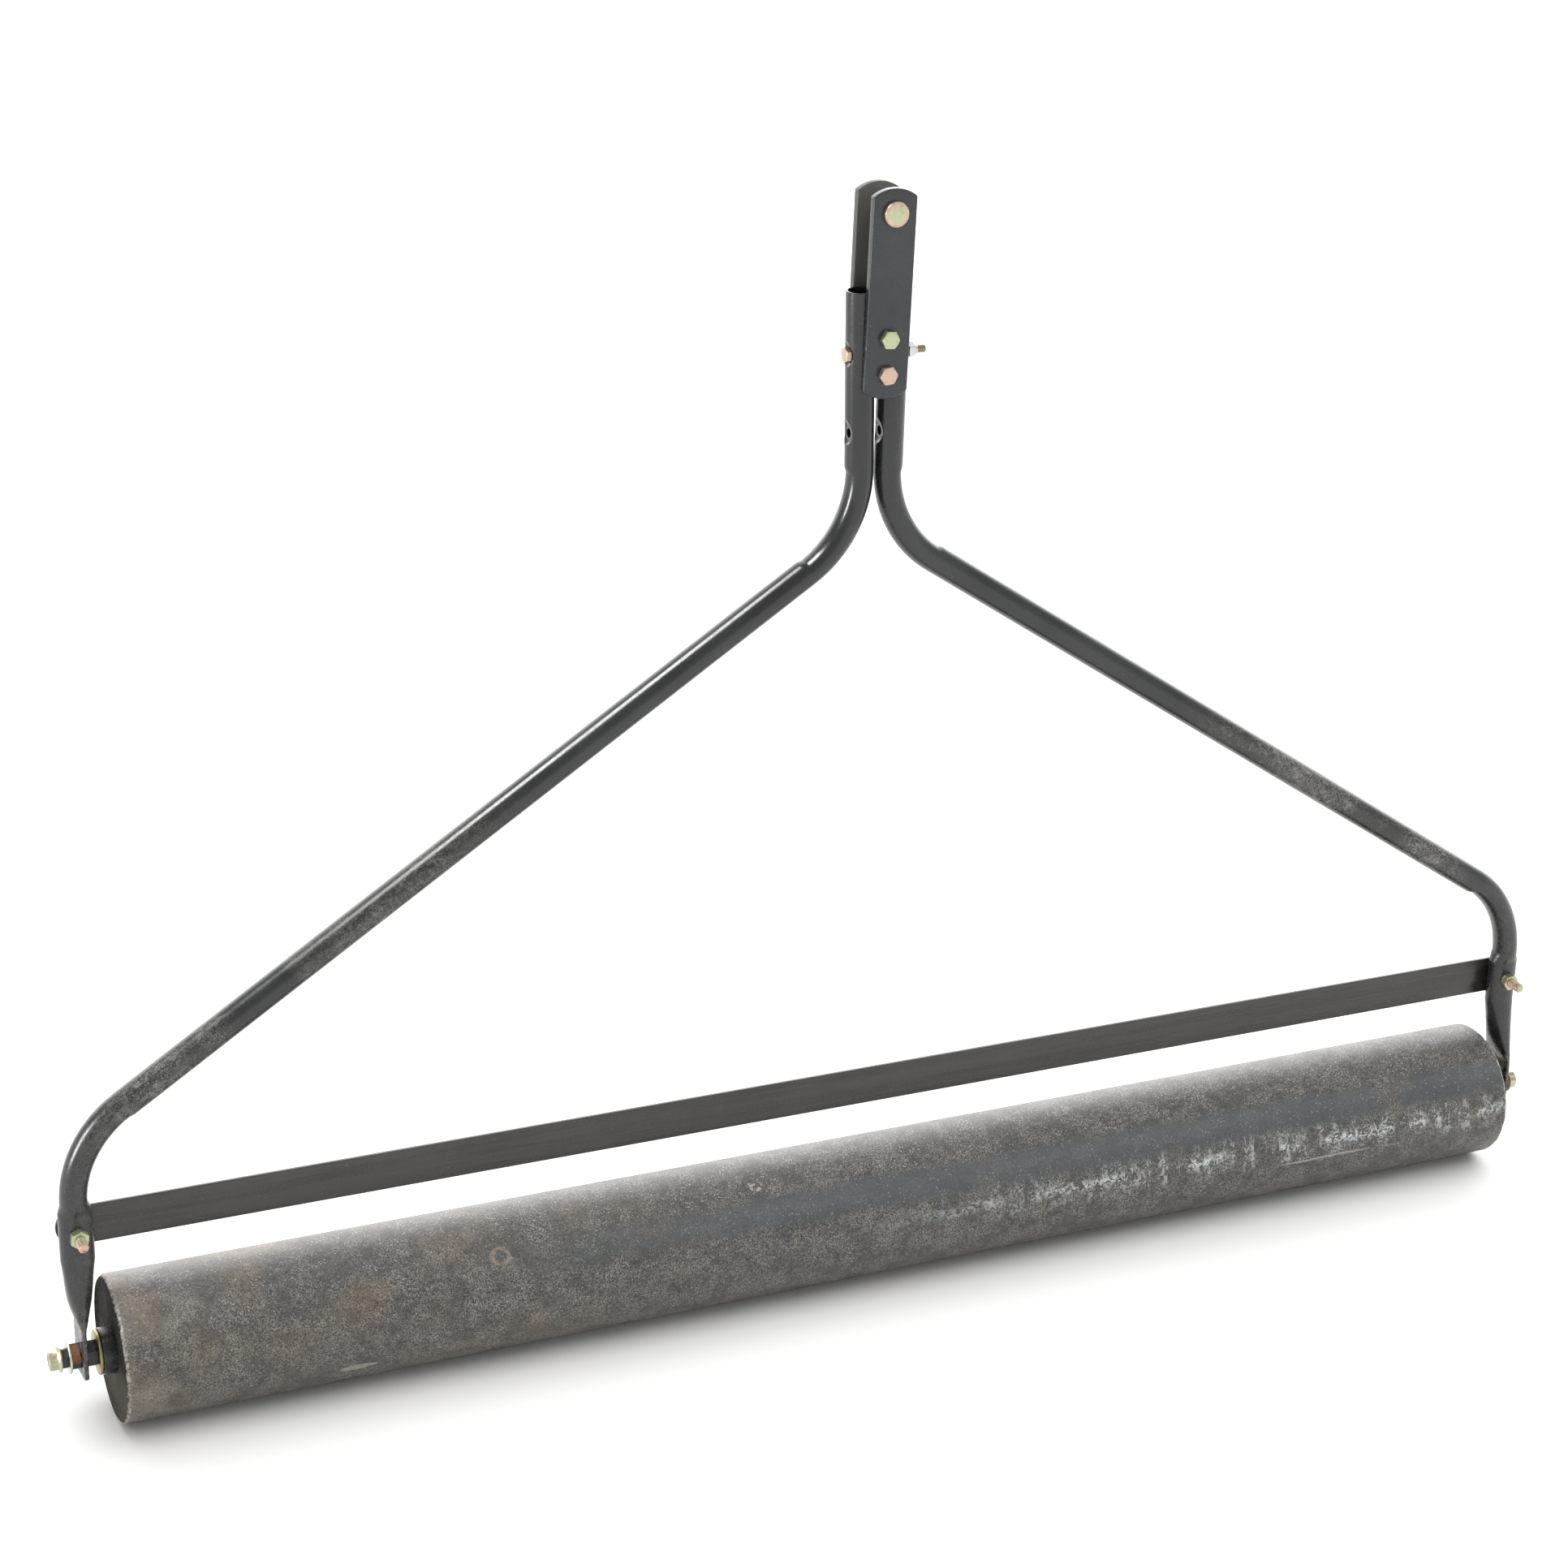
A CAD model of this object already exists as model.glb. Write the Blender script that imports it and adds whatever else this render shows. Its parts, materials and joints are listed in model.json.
"""Looks of the tow-behind lawn roller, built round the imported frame.

Lengths in the shape code are millimetres in the row frame: Z = 0 is the floor, X runs along the
roller, -Y is the front. Meshes are scaled to metres when they are made.
"""

import json
from math import cos, pi, radians, sin, sqrt, tan

import bmesh
import bpy
import numpy as np
from mathutils import Matrix, Vector


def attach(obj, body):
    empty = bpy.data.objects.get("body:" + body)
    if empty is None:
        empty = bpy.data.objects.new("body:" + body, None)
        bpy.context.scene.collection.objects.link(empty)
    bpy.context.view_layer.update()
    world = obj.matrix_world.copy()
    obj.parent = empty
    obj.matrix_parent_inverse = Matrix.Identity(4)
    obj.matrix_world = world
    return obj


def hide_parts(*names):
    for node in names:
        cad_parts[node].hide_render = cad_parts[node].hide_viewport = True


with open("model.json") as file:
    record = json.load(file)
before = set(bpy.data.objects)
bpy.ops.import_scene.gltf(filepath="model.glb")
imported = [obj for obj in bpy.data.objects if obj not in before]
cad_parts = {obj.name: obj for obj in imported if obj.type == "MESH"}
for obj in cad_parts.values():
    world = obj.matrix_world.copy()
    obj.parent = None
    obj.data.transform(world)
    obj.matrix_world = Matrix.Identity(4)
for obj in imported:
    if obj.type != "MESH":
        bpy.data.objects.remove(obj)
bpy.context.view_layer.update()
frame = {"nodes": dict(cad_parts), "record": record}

MM = 0.001
SIDES = {"left": -1, "right": 1}
BODY_OF = {node: body for body, nodes in frame["record"]["behaviour"]["bodies"].items() for node in nodes}

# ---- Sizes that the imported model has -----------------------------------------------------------

AXLE_Z = 57.15
ROLLER_R, ROLLER_HALF, COVER_EDGE = 57.15, 611.0, 3.0
HUB_R, HUB_FACE, BUSHING_R, HUB_LENGTH = 18.0, 619.0, 9.525, 33.0
AXLE_R, STUB_R, AXLE_END = 6.35, 4.7625, 657.5
TUBE_R, TUBE_WALL, BEND_R = 11.1125, 1.65, 88.9
ARM_SPREAD, LOWER_BEND, UPPER_BEND, ARM_TOP = 630.6, 177.4, 583.2, 769.8
UPPER_X = {"left": 10.75, "right": 12.0}
ARM_LEAN = {"left": radians(1.4), "right": radians(0.3)}
FOOT_X = {"left": 632.2, "right": 637.0}
FOOT_END, FOOT_CUT, FOOT_CORNER = 16.5, tan(radians(10)), 3.0
SQUEEZE_TOP, FLATTEN_TOP, FLATTEN_END = 129.0, 85.0, 26.0
WAIST_Y, WAIST_X = 9.3, 13.0
BAR_HALF, BAR_Z, BAR_HALF_WIDTH, BAR_THICKNESS, BAR_BOLT_Z = 644.0, 104.5, 15.875, 3.175, 106.0
BAR_BOLT_LENGTH, STRAP_BOLT_LENGTH = 41.4, 50.8
STRAP_LEAN, STRAP_BOLT_Z, STRAP_PITCH, STRAP_PIN = radians(1.2), 708.9, 27.0, 119.8
STRAP_HALF, STRAP_THICKNESS, STRAP_MARGIN, STRAP_END_R, STRAP_CORNER = 17.4625, 6.35, 18.5, 28.0, 2.5
CROSS_BOLT_Z, SPARE_HOLE_Z, CROSS_END = 721.7, 661.7, 39.1
SEAT_DEPTH, SEAT_R = 2.0, 7.0
PIN_R, PIN_HEAD_R, PIN_HEAD, PIN_END_Y = 6.35, 9.525, 4.0, 29.5
CLIP_Y, CLIP_R, CLIP_TILT = 23.0, 1.25, radians(6)
CLIP_ROUTE = ((-12, 0), (29, 0), (29, -11), (19, -11), (10.5, -3.2), (4, -8.4), (-6, -8.0), (-11, -9.6))
CLIP_RADII = (0, 5.4, 5.4, 4.0, 2.6, 3.0, 5.0, 0)
LARGE = {"r": 3.96875, "af": 12.7, "head": 5.3, "nut": 6.75, "pitch": 1.411}
SMALL = {"r": 3.175, "af": 11.1125, "head": 4.1, "nut": 7.9, "pitch": 1.27}
AXLE_PITCH, STUB_PITCH = 1.954, 1.5875
HEAVY_AF, STUB_AF, HEAVY_NUT = 19.05, 14.2875, 7.3
SHOULDER = {name: x + 2 + HEAVY_NUT for name, x in FOOT_X.items()}
RING_MARK, RING_TURN, RING_R = -314.0, radians(45), 6.3
CHIP, CHIP_TURN, CHIP_LONG, CHIP_HIGH = -432.0, radians(117), 15.5, 3.4
SPECKS, SPECKS_TURN, CRACK_ENDS, CRACK_TURN = -95.0, 0.47, (385.0, 465.0), 1.705
PIN_CENTRE_X, PIN_CENTRE_Z = STRAP_PIN * sin(STRAP_LEAN), AXLE_Z + STRAP_BOLT_Z + STRAP_PIN * cos(STRAP_LEAN)


# ---- Mesh tools --------------------------------------------------------------------------------

def unit(v):
    v = np.array(v, float)
    return v / np.linalg.norm(v)


class Place:
    """An origin and three axes, z along the piece's own axis."""

    def __init__(self, origin, z_dir, x_dir):
        self.origin, self.z, self.x = np.array(origin, float), unit(z_dir), unit(x_dir)
        self.y = np.cross(self.z, self.x)

    def at(self, x, y, z):
        x, y, z = np.broadcast_arrays(x, y, z)
        return self.origin + x[..., None] * self.x + y[..., None] * self.y + z[..., None] * self.z


def loft(rings, loop=False, caps=True):
    """Points and faces of a skin over rings that have the same number of points."""
    rings = np.array(rings)
    count, size = rings.shape[:2]
    faces = []
    for i in range(count if loop else count - 1):
        a, b = i * size, (i + 1) % count * size
        faces += [(a + j, a + (j + 1) % size, b + (j + 1) % size, b + j) for j in range(size)]
    if caps and not loop:
        faces += [tuple(range(size)), tuple(range((count - 1) * size, count * size))]
    return rings.reshape(-1, 3), faces


def angles(segments):
    return np.arange(segments) * 2 * pi / segments


def turned(place, stations, segments=72, loop=False):
    """Skin over (radius, height) stations round a place's axis; either may vary with the angle."""
    turn = angles(segments)
    return loft([place.at(r * np.cos(turn), r * np.sin(turn), h) for r, h in stations], loop)


def filleted(corners, radii, steps=4, closed=True):
    """A 2-D outline with its corners rounded."""
    corners, out = [np.array(c, float) for c in corners], []
    for i, (corner, radius) in enumerate(zip(corners, radii)):
        if not radius or (not closed and i in (0, len(corners) - 1)):
            out.append(corner)
            continue
        a, b = unit(corners[i - 1] - corner), unit(corners[(i + 1) % len(corners)] - corner)
        half = np.arccos(np.clip(a @ b, -1, 1)) / 2
        centre = corner + unit(a + b) * radius / sin(half)
        u, v = corner + a * radius / tan(half) - centre, corner + b * radius / tan(half) - centre
        span = pi - 2 * half
        for step in range(steps + 1):
            t = step / steps
            out.append(centre + (sin((1 - t) * span) * u + sin(t * span) * v) / sin(span))
    return out


def make_mesh(name, shells, sharp=38):
    """A mesh object out of closed skins, with its hard edges marked."""
    points, faces = [], []
    for shell_points, shell_faces in shells:
        start = sum(len(p) for p in points)
        points.append(shell_points)
        faces += [tuple(start + i for i in face) for face in shell_faces]
    mesh = bpy.data.meshes.new(name)
    mesh.from_pydata((np.concatenate(points) * MM).tolist(), [], faces)
    finish_mesh(mesh, sharp)
    made = bpy.data.objects.new(name, mesh)
    bpy.context.scene.collection.objects.link(made)
    return made


def finish_mesh(mesh, sharp):
    shape = bmesh.new()
    shape.from_mesh(mesh)
    bmesh.ops.recalc_face_normals(shape, faces=shape.faces)
    for face in shape.faces:
        face.smooth = True
    shape.to_mesh(mesh)
    shape.free()
    mesh.set_sharp_from_angle(angle=radians(sharp))


def cut(target, cutter_shells, sharp=38):
    """Subtracts closed skins from a piece and applies the result."""
    cutter = make_mesh(target.name + "_cutter", cutter_shells)
    boolean = target.modifiers.new("holes", "BOOLEAN")
    boolean.operation, boolean.solver, boolean.object = "DIFFERENCE", "EXACT", cutter
    evaluated = target.evaluated_get(bpy.context.evaluated_depsgraph_get())
    mesh = bpy.data.meshes.new_from_object(evaluated)
    target.modifiers.clear()
    old, target.data = target.data, mesh
    bpy.data.meshes.remove(old)
    shape = bmesh.new()
    shape.from_mesh(mesh)
    bmesh.ops.remove_doubles(shape, verts=shape.verts, dist=2e-6)
    bmesh.ops.dissolve_degenerate(shape, edges=shape.edges, dist=2e-6)
    shape.to_mesh(mesh)
    shape.free()
    finish_mesh(mesh, sharp)
    bpy.data.objects.remove(cutter)


def rod(place, radius, start, end, segments=48):
    return turned(place, [(radius, start), (radius, end)], segments)


def stand_for(piece, node, material):
    """The piece takes a CAD node's place, body and material slot."""
    piece.data.materials.clear()
    piece.data.materials.append(material)
    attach(piece, BODY_OF[node])
    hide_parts(node)


# ---- Fastener shapes ---------------------------------------------------------------------------

def hexagon(across_flats, segments):
    """Radius of a hexagon by angle, its corners worn a little; a corner lies at angle 0."""
    phase = angles(segments) % (pi / 3) - pi / 6
    return np.minimum(across_flats / 2 / np.cos(phase), across_flats / 2 * 1.143)


def thread(start, end, major, pitch, segments, tip=0.0):
    """Stations of a screw thread that runs out at its start and is bevelled at its tip."""
    turn = angles(segments) / (2 * pi)
    stations = []
    for z in np.arange(start, end, pitch / 8):
        wave = np.abs(2 * ((z / pitch - turn) % 1) - 1)
        groove = np.clip(1.35 * wave - 0.175, 0, 1) * min(1, (z - start) / pitch)
        radius = major - 0.58 * pitch * groove
        stations.append((np.minimum(radius, major - max(0, z - (end - tip))), z))
    stations.append((major - max(tip, 0.62 * pitch), end))
    return stations


def nut(place, across_flats, bore, height, flange=0.0, crown=0.0, segments=96):
    """Hexagon nut with turned corners, and if asked a washer flange or a coned locking crown."""
    hexed, flat = hexagon(across_flats, segments), across_flats / 2 * 0.965
    drop = (hexed - flat) * tan(radians(30))
    if flange:
        lower = [(bore + 0.5, 0), (flange - 0.5, 0), (flange, 0.5), (flange, 1.2), (flange - 0.35, 1.6),
                 (hexed + 0.4, 2.3), (hexed, 2.8)]
    else:
        lower = [(bore + 0.6, 0), (flat, 0), (hexed, drop)]
    if crown:
        shoulder = height - crown
        upper = [(hexed, shoulder - drop), (flat, shoulder), (flat - 0.9, shoulder + 0.25),
                 (flat - 1.25, height - 0.5), (flat - 1.7, height), (bore + 0.3, height)]
    else:
        upper = [(hexed, height - drop), (flat, height), (bore + 0.6, height)]
    return turned(place, [(bore, 0.6)] + lower + upper + [(bore, height - 0.6)], segments, loop=True)


def bolt(place, size, length, thread_start, segments=96):
    """Hexagon bolt; the head's seat is the place's origin and the shank runs along its axis."""
    hexed, flat = hexagon(size["af"], segments), size["af"] / 2 * 0.955
    head, r = size["head"], size["r"]
    drop = (hexed - flat) * tan(radians(30))
    stations = [(flat - 0.5, -head), (flat, -head + 0.06), (hexed, -head + 0.06 + drop), (hexed, -0.45),
                (flat, -0.4), (flat, 0), (r - 0.08, 0), (r - 0.08, thread_start - 0.1)]
    stations += thread(thread_start, length, r, size["pitch"], segments, tip=0.9)
    return turned(place, stations, segments)


def washer(place, outer, bore, thickness, edge=0.4, segments=96):
    outline = filleted(
        [(bore, 0), (outer, 0), (outer, thickness), (bore, thickness)], (edge / 2, edge, edge, edge / 2), 3)
    return turned(place, outline, segments, loop=True)


def outboard(side, x, x_dir=(0, 0, 1)):
    """Place across the axle at a distance outboard along X."""
    return Place((side * x, 0, AXLE_Z), (side, 0, 0), x_dir)


# ---- Arm tubes ---------------------------------------------------------------------------------

def arm_x(side_name, height):
    """Distance of an arm's top stretch from the middle plane, at a height above the axle."""
    return UPPER_X[side_name] + (height - UPPER_BEND) * tan(ARM_LEAN[side_name])


def arm_path(side_name):
    """Runs and bends of an arm's centre line from the top down, as (kind, length, data)."""
    corners = [np.array(c) for c in (
        (arm_x(side_name, ARM_TOP), ARM_TOP), (UPPER_X[side_name], UPPER_BEND),
        (ARM_SPREAD, LOWER_BEND), (ARM_SPREAD, SQUEEZE_TOP))]
    parts, start = [], corners[0]
    for before, corner, after in zip(corners, corners[1:], corners[2:]):
        a, b = unit(corner - before), unit(after - corner)
        swing = np.arctan2(a[0] * b[1] - a[1] * b[0], a @ b)
        reach = BEND_R * tan(abs(swing) / 2)
        parts.append(("run", np.linalg.norm(corner - a * reach - start), (start, a)))
        parts.append(("bend", BEND_R * abs(swing), (corner - a * reach, a, swing)))
        start, last = corner + b * reach, b
    parts.append(("run", np.linalg.norm(corners[-1] - start), (start, last)))
    return parts


def on_path(parts, s):
    """Point and direction at a length along the path, and how far inside a bend it lies."""
    done, squeezed = 0.0, 0.0
    found = None
    for kind, length, data in parts:
        if kind == "bend":
            inside = min(s - done, done + length - s)
            squeezed += np.clip(inside / 5 + 0.5, 0, 1) * np.sign(data[2])
        if found is None and s <= done + length + 1e-9:
            along = s - done
            if kind == "run":
                found = data[0] + data[1] * along, data[1]
            else:
                start, a, swing = data
                turn = swing * along / length
                hand = np.sign(swing)
                normal = np.array((-a[1], a[0])) * hand
                centre = start + normal * BEND_R
                spin = np.array(((cos(turn), -sin(turn)), (sin(turn), cos(turn))))
                found = centre - spin @ normal * BEND_R, spin @ a
        done += length
    return found[0], found[1], squeezed


def stations_along(length, coarse, features):
    """Lengths along a path, close together round each (middle, reach, step) feature."""
    marks = list(np.arange(0, length, coarse)) + [length]
    for middle, reach, step in features:
        marks += list(np.arange(middle - reach, middle + reach, step))
    marks = sorted(m for m in marks if 0 <= m <= length)
    kept = [marks[0]]
    for mark in marks[1:]:
        if mark - kept[-1] > 0.3:
            kept.append(mark)
    return kept


def between(keys, h):
    """Smooth value at a height between (height, value) keys listed from high to low, without overshoot."""
    heights = np.array([k[0] for k in keys], float)[::-1]
    values = np.array([k[1] for k in keys], float)[::-1]
    gaps, steps = np.diff(heights), np.diff(values)
    rates = steps / gaps
    slopes = np.zeros(len(values))
    for i in range(1, len(values) - 1):
        if rates[i - 1] * rates[i] > 0:
            slopes[i] = 2 * rates[i - 1] * rates[i] / (rates[i - 1] + rates[i])
    i = int(np.clip(np.searchsorted(heights, h) - 1, 0, len(heights) - 2))
    gap, t = gaps[i], np.clip((h - heights[i]) / gaps[i], 0, 1)
    return ((2 * t**3 - 3 * t**2 + 1) * values[i] + (t**3 - 2 * t**2 + t) * gap * slopes[i]
            + (3 * t**2 - 2 * t**3) * values[i + 1] + (t**3 - t**2) * gap * slopes[i + 1])


HALF_WIDTH = ((129, TUBE_R), (121, WAIST_Y), (85, WAIST_Y), (75, 10.2), (50, 12.9), (36, 15.6), (26, 16.8),
              (16, 16.85))
HALF_THICKNESS = ((129, TUBE_R), (121, WAIST_X), (85, WAIST_X), (75, 11.9), (50, 9.1), (36, 5.3), (26, 2.0),
                  (16, 2.0))
SQUARENESS = ((129, 2.0), (121, 2.15), (85, 2.15), (50, 2.2), (36, 2.7), (26, 5.0), (16, 7.0))


def pressed_ring(side_name, h, shrink=0.0):
    """Section of the arm below its bend: squeezed at the cross bar, then pressed flat at the foot."""
    side, turn = SIDES[side_name], angles(96)
    slide = np.clip((FLATTEN_TOP - h) / (FLATTEN_TOP - FLATTEN_END), 0, 1)
    middle = ARM_SPREAD + slide * (FOOT_X[side_name] - ARM_SPREAD)
    wide, thick, power = between(HALF_WIDTH, h), between(HALF_THICKNESS, h), between(SQUARENESS, h)
    above_cut = h + FOOT_END
    if above_cut < FOOT_CORNER:
        drawn_in = FOOT_CORNER - sqrt(max(FOOT_CORNER**2 - (FOOT_CORNER - above_cut)**2, 0))
        wide, thick = wide - drawn_in, thick - drawn_in * 0.12
    wide, thick = max(wide - shrink, 0.2), max(thick - shrink, 0.2)
    c, s = np.cos(turn), np.sin(turn)
    x = np.sign(c) * np.abs(c) ** (2 / power) * thick
    y = np.sign(s) * np.abs(s) ** (2 / power) * wide
    # The lowest sections tilt over towards the slanting cut that ends the foot.
    z = h - y * np.clip((20 - h) / (20 + FOOT_END), 0, 1) * FOOT_CUT
    return np.stack([side * middle + side * x, y, AXLE_Z + z], -1)


def dish(points, side_name, shrink=0.0):
    """Presses the seats round the cross holes into the -X side of a tube's wall."""
    for height in (CROSS_BOLT_Z, SPARE_HOLE_Z):
        middle = SIDES[side_name] * arm_x(side_name, height)
        away = np.hypot(points[:, 1], points[:, 2] - AXLE_Z - height)
        t = np.clip((away - SEAT_R + 1.2) / 4.6, 0, 1)
        floor = middle - TUBE_R + shrink + (SEAT_DEPTH + 0.5) * (1 - t * t * (3 - 2 * t))
        near = (away < SEAT_R + 3.4) & (points[:, 0] < middle)
        points[near, 0] = np.maximum(points[near, 0], floor[near])
    return points


def arm_ring(side_name, parts, s, shrink=0.0):
    (x, h), (tx, tz), squeezed = on_path(parts, s)
    side, turn = SIDES[side_name], angles(96)
    c, out = np.cos(turn), np.sin(turn)
    # The bending tool leaves a bend flatter, most of all on its inner side.
    in_plane = TUBE_R - shrink - abs(squeezed) * (0.75 + 0.65 * c * np.sign(squeezed or 1))
    nx, nz = -tz, tx
    ring = np.stack([
        side * (x + c * in_plane * nx), out * (TUBE_R - shrink + 0.25 * abs(squeezed)),
        AXLE_Z + h + c * in_plane * nz], -1)
    return dish(ring, side_name, shrink) if s < 140 else ring


def arm_tube(side_name):
    parts = arm_path(side_name)
    side, length = SIDES[side_name], sum(part[1] for part in parts)
    bends, done = [], 0.0
    for kind, part_length, _ in parts:
        if kind == "bend":
            half_way = part_length / 2
            bends += [(done, 4, 0.8), (done + part_length, 4, 0.8), (done + half_way, half_way, 2.5)]
        done += part_length
    seats = [(ARM_TOP - height, 11.5, 0.6) for height in (CROSS_BOLT_Z, SPARE_HOLE_Z)]
    marks = stations_along(length, 9, bends + seats)
    outer = [arm_ring(side_name, parts, s) for s in marks[::-1]]
    low = list(np.arange(SQUEEZE_TOP - 1, 119, -1.0)) + list(np.arange(119, FLATTEN_TOP + 2, -4.0))
    low += list(np.arange(FLATTEN_TOP, FOOT_CORNER - FOOT_END, -1.5))
    low += list(FOOT_CORNER - FOOT_END - FOOT_CORNER * np.sin(np.linspace(0.05, pi / 2, 8)))
    pressed = [pressed_ring(side_name, h) for h in low]
    top = [arm_ring(side_name, parts, 0.0, shrink) + (0, 0, -drop)
           for shrink, drop in ((0.1, 0.0), (0.35, -0.12), (TUBE_WALL - 0.35, -0.12), (TUBE_WALL, 0.0))]
    top = [ring - (0, 0, 0.12) for ring in top]
    inner = [arm_ring(side_name, parts, s, TUBE_WALL) for s in marks[1:]]
    inner += [pressed_ring(side_name, h, TUBE_WALL) for h in low if h > 42]
    tube = make_mesh(f"{side_name}_arm_tube_look", [loft(pressed[::-1] + outer[:-1] + top + inner)], 30)

    strap_up = np.array((sin(STRAP_LEAN), 0, cos(STRAP_LEAN)))
    across = [Place((0, 0, AXLE_Z + height), (1, 0, 0), (0, 1, 0)) for height in (CROSS_BOLT_Z, SPARE_HOLE_Z)]
    holes = [rod(place, SMALL["r"] + 0.4, side * 13 - 26, side * 13 + 26) for place in across]
    for reach in (0, STRAP_PITCH):
        origin = np.array((0, 0, AXLE_Z + STRAP_BOLT_Z)) + strap_up * reach
        holes.append(rod(Place(origin, (0, 1, 0), (1, 0, 0)), LARGE["r"] + 0.4, -20, 20))
    bar_place = Place((side * ARM_SPREAD, 0, AXLE_Z + BAR_BOLT_Z), (0, 1, 0), (1, 0, 0))
    holes.append(rod(bar_place, LARGE["r"] + 0.4, -20, 20))
    holes.append(rod(outboard(side, FOOT_X[side_name]), AXLE_R + 0.4, -8, 8, 64))
    cut(tube, holes, 30)
    return tube


# ---- Flat stock --------------------------------------------------------------------------------

def inset(outline, amount):
    """The outline moved inwards along its corner normals; it runs anticlockwise."""
    ahead, behind = np.roll(outline, -1, 0), np.roll(outline, 1, 0)
    along = ahead - behind
    along /= np.linalg.norm(along, axis=1)[:, None]
    return outline + amount * np.stack([-along[:, 1], along[:, 0]], -1)


def plate(place, outline, thickness, edge):
    """Flat plate with rounded edges, growing along the place's axis."""
    outline = np.array(outline)
    rings = []
    for t in np.linspace(0, pi / 2, 5):
        rings.append((edge * (1 - sin(t)), edge * (1 - cos(t))))
    rings += [(i, thickness - z) for i, z in rings[::-1]]
    skins = []
    for amount, z in rings:
        flat = inset(outline, amount)
        skins.append(place.at(flat[:, 0], flat[:, 1], z))
    return loft(skins)


def strap_outline():
    rise = STRAP_END_R - sqrt(STRAP_END_R**2 - STRAP_HALF**2)
    low, high = -STRAP_MARGIN, STRAP_PIN + STRAP_MARGIN
    span = np.arcsin(STRAP_HALF / STRAP_END_R)
    arc = np.linspace(-span, span, 25)[1:-1]
    corners = [(STRAP_HALF, low + rise), (STRAP_HALF, high - rise)]
    corners += [(-STRAP_END_R * sin(a), high - STRAP_END_R * (1 - cos(a))) for a in arc]
    corners += [(-STRAP_HALF, high - rise), (-STRAP_HALF, low + rise)]
    corners += [(STRAP_END_R * sin(a), low + STRAP_END_R * (1 - cos(a))) for a in arc]
    radii = [STRAP_CORNER if abs(abs(x) - STRAP_HALF) < 1e-6 else 0 for x, _ in corners]
    # A corner's fillet is wider than the arc's first step, so the step is left out.
    keep = [i for i, (x, _) in enumerate(corners) if radii[i] or abs(x) < STRAP_HALF - 1.4]
    return filleted([corners[i] for i in keep], [radii[i] * 0.8 for i in keep], 5)


def strap_place(reach, y, z_dir=(0, 1, 0)):
    origin = (reach * sin(STRAP_LEAN), y, AXLE_Z + STRAP_BOLT_Z + reach * cos(STRAP_LEAN))
    return Place(origin, z_dir, (0, 0, 1))


# ---- Materials ---------------------------------------------------------------------------------

class Graph:
    """A material's or a world's nodes, and short ways to wire them."""

    def __init__(self, name, world=None):
        self.material = world or bpy.data.materials.new(name)
        self.material.use_nodes = True
        self.tree = self.material.node_tree
        self.tree.nodes.clear()
        self.place = self.node("TexCoord").outputs["Generated" if world else "Object"]
        apart = self.node("SeparateXYZ", {"Vector": self.place})
        self.x, self.y, self.z = apart.outputs

    def node(self, kind, inputs=None, **settings):
        made = self.tree.nodes.new("ShaderNode" + kind)
        for key, value in settings.items():
            setattr(made, key, value)
        for key, value in (inputs or {}).items():
            if isinstance(value, bpy.types.NodeSocket):
                self.tree.links.new(value, made.inputs[key])
            else:
                made.inputs[key].default_value = value
        return made

    def math(self, operation, a, b=0.0, c=0.0, clamp=False):
        return self.node("Math", {0: a, 1: b, 2: c}, operation=operation, use_clamp=clamp).outputs[0]

    def times(self, *values):
        total = values[0]
        for value in values[1:]:
            total = self.math("MULTIPLY", total, value)
        return total

    def plus(self, *values):
        total = values[0]
        for value in values[1:]:
            total = self.math("ADD", total, value)
        return total

    def noise(self, scale, detail=3.0, rough=0.55, vector=None, distortion=0.0):
        inputs = {"Vector": vector or self.place, "Scale": scale, "Detail": detail, "Roughness": rough,
                  "Distortion": distortion}
        return self.node("TexNoise", inputs).outputs["Fac"]

    def cells(self, scale, vector=None, output="Distance"):
        inputs = {"Vector": vector or self.place, "Scale": scale}
        return self.node("TexVoronoi", inputs).outputs[output]

    def stretched(self, x=1.0, y=1.0, z=1.0, turn=(0, 0, 0), shift=(0, 0, 0)):
        inputs = {"Vector": self.place, "Scale": (x, y, z), "Rotation": turn, "Location": shift}
        return self.node("Mapping", inputs).outputs[0]

    def step(self, value, low, high, to_low=0.0, to_high=1.0):
        """Smooth step of a value from low to high."""
        inputs = {"Value": value, "From Min": low, "From Max": high, "To Min": to_low, "To Max": to_high}
        return self.node("MapRange", inputs, interpolation_type="SMOOTHSTEP").outputs[0]

    def window(self, value, low, high, soft):
        """1 between low and high, falling softly to 0 outside them."""
        return self.times(
            self.step(value, low - soft, low + soft), self.step(value, high + soft, high - soft))

    def mix(self, factor, a, b):
        made = self.node("Mix", {"Factor": factor}, data_type="RGBA")
        for socket, value in ((made.inputs[6], a), (made.inputs[7], b)):
            if isinstance(value, bpy.types.NodeSocket):
                self.tree.links.new(value, socket)
            else:
                socket.default_value = (*value, 1)
        return made.outputs[2]

    def bump(self, height, strength, distance, normal=None):
        inputs = {"Height": height, "Strength": strength, "Distance": distance}
        if normal is not None:
            inputs["Normal"] = normal
        return self.node("Bump", inputs).outputs[0]

    def finish(self, color, roughness, normal=None, **constants):
        inputs = {"Base Color": color, "Roughness": roughness}
        if normal is not None:
            inputs["Normal"] = normal
        inputs.update({key.replace("_", " "): value for key, value in constants.items()})
        shader = self.node("BsdfPrincipled", inputs)
        output = self.node("OutputMaterial")
        self.tree.links.new(shader.outputs[0], output.inputs[0])
        return self.material


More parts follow.
